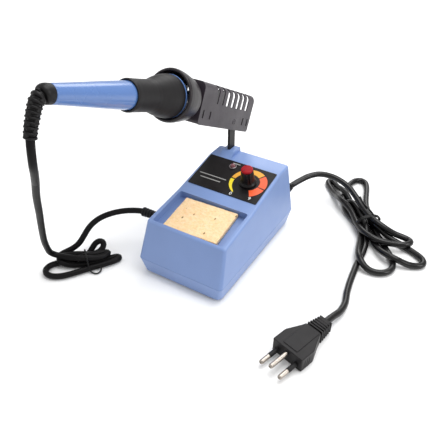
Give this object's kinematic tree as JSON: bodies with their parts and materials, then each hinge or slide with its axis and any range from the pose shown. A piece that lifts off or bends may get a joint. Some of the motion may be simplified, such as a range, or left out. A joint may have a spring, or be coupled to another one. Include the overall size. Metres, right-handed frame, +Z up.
{
  "type": "soldering iron station",
  "caption": "Bench soldering station: blue housing with sponge tray and dial, a slotted tilting holder on a post, a corded iron resting in it, and a mains cord with a plug.",
  "frame": {"origin": "on the bench under the middle of the box round the station, its holder and its iron, leaving out the free cords and the plug", "axes": "+X to the right of the station seen from its front, +Y from its front edge to its back, +Z up"},
  "size_m": [0.3077, 0.3551, 0.2096],
  "materials": {
    "blue_shell": "satin",
    "black_label": "satin",
    "black_knob": "matt",
    "red_cap": "gloss",
    "lamp_lens": "gloss",
    "lamp_bezel": "gloss",
    "sponge": "matt",
    "black_sheet": "satin",
    "black_bakelite": "satin",
    "blue_handle": "gloss",
    "black_grip": "matt",
    "black_boot": "matt",
    "bright_steel": "satin",
    "iron_bit": "satin",
    "ceramic_core": "matt",
    "cord_jacket": "satin",
    "plug_black": "matt",
    "plug_pins": "gloss",
    "foot_rubber": "matt",
    "ballast_steel": "matt",
    "board_green": "satin",
    "capacitor_red": "satin",
    "device_black": "satin",
    "terminal_green": "satin",
    "copper_coil": "satin",
    "fuse_glass": "gloss"
  },
  "bodies": {
    "station": {"upper_housing": "blue_shell", "lower_housing": "blue_shell", "panel_label": "black_label", "housing_screw_1": "bright_steel", "housing_screw_2": "bright_steel", "housing_screw_3": "bright_steel", "housing_screw_4": "bright_steel", "foot_1": "foot_rubber", "foot_2": "foot_rubber", "foot_3": "foot_rubber", "foot_4": "foot_rubber", "ballast_plate": "ballast_steel", "potentiometer": "bright_steel", "control_nut": "bright_steel", "lamp": "lamp_lens", "lamp_bezel": "lamp_bezel", "circuit_board": "board_green", "film_capacitor": "capacitor_red", "triac": "device_black", "terminal_block": "terminal_green", "choke_coil": "copper_coil", "fuse": "fuse_glass", "holder_post": "black_sheet", "post_screw": "bright_steel", "mains_strain_relief": "black_boot", "iron_cord_strain_relief": "black_boot", "mains_cord_lead": "cord_jacket", "mains_cord_hank": "cord_jacket", "mains_cord_tail": "cord_jacket", "iron_cord_drop_upper": "cord_jacket", "iron_cord_drop_lower": "cord_jacket", "iron_cord_hank": "cord_jacket", "iron_cord_lead": "cord_jacket", "plug_body": "plug_black", "plug_pin_left": "plug_pins", "plug_pin_right": "plug_pins", "plug_pin_earth": "plug_pins", "pin_sleeve_left": "plug_black", "pin_sleeve_right": "plug_black"},
    "knob": {"knob": "black_knob", "knob_cap": "red_cap", "control_shaft": "bright_steel"},
    "holder": {"holder_channel": "black_sheet", "holder_ring": "black_bakelite", "ring_clip": "bright_steel", "pivot_screw": "black_sheet", "pivot_nut": "bright_steel", "pivot_washer": "bright_steel"},
    "iron": {"iron_handle": "blue_handle", "iron_grip": "black_grip", "iron_collar": "bright_steel", "heater_barrel": "bright_steel", "barrel_nut": "bright_steel", "iron_tip": "iron_bit", "heater_core": "ceramic_core", "iron_boot": "black_boot"},
    "sponge": {"sponge": "sponge"}
  },
  "joints": [
    {"name": "knob_turn", "type": "hinge", "parent": "station", "child": "knob", "pos_m": [0.02662, 0.05398, 0.06587], "axis": [0, -0.2102, 0.9777], "range_deg": [-300, 0]},
    {"name": "holder_tilt", "type": "hinge", "parent": "station", "child": "holder", "pos_m": [-0.01049, 0.09028, 0.104], "axis": [1, 0, 0], "range_deg": [-20, 25], "deforming": ["iron_cord_drop_upper", "iron_cord_drop_lower"]},
    {"name": "iron_draw", "type": "slide", "parent": "holder", "child": "iron", "axis": [0, -0.934, 0.3574], "range_m": [0, 0.09]},
    {"name": "sponge_lift", "type": "slide", "parent": "station", "child": "sponge", "axis": [0, -0.1221, 0.9925], "range_m": [0, 0.03]}
  ]
}
